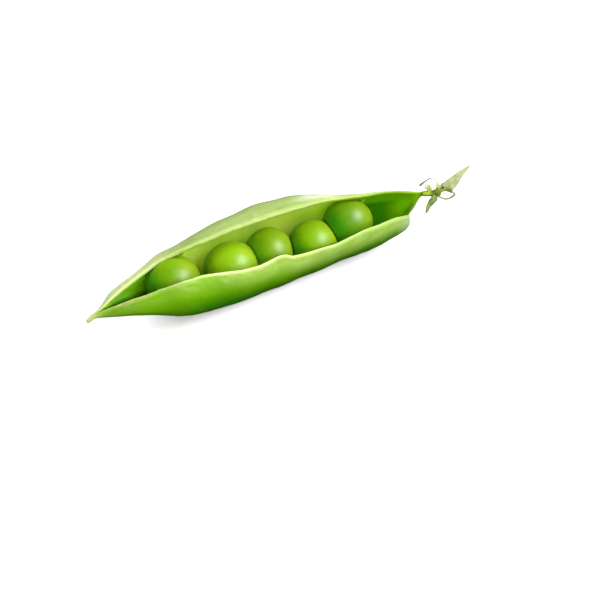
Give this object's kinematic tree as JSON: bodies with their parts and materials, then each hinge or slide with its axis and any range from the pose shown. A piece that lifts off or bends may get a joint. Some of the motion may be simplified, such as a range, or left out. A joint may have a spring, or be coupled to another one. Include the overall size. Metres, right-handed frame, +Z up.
{
  "type": "pea pod",
  "caption": "Garden pea pod split open along its mouth, with its round green peas in place, lying on its side as picked food or a kitchen prop.",
  "frame": {"origin": "centre of the overall footprint, on the surface the pod lies on", "axes": "+X along the pod from its dried beak to its picked stalk, +Z up, the mouth facing up and a little towards -Y"},
  "size_m": [0.0816, 0.0164, 0.0144],
  "materials": {
    "pod_skin": "fresh waxy green, satin",
    "pea_skin": "fresh green, soft gloss",
    "seed_stalk": "pale green, moist",
    "stalk_green": "olive green, dull",
    "dry_sepal": "pale dried green, papery",
    "withered_thread": "grey-brown, dry"
  },
  "bodies": {
    "root": {"pod_shell": "pod_skin", "pea_1": "pea_skin", "pea_2": "pea_skin", "pea_3": "pea_skin", "pea_4": "pea_skin", "pea_5": "pea_skin", "funicle_1": "seed_stalk", "funicle_2": "seed_stalk", "funicle_3": "seed_stalk", "funicle_4": "seed_stalk", "funicle_5": "seed_stalk", "calyx_cup": "stalk_green", "pedicel": "stalk_green", "sepal_long": "dry_sepal", "sepal_droop": "dry_sepal", "sepal_curl_1": "dry_sepal", "sepal_curl_2": "dry_sepal", "sepal_under": "dry_sepal", "stamen_arc": "withered_thread", "stamen_loop": "withered_thread"}
  },
  "joints": []
}
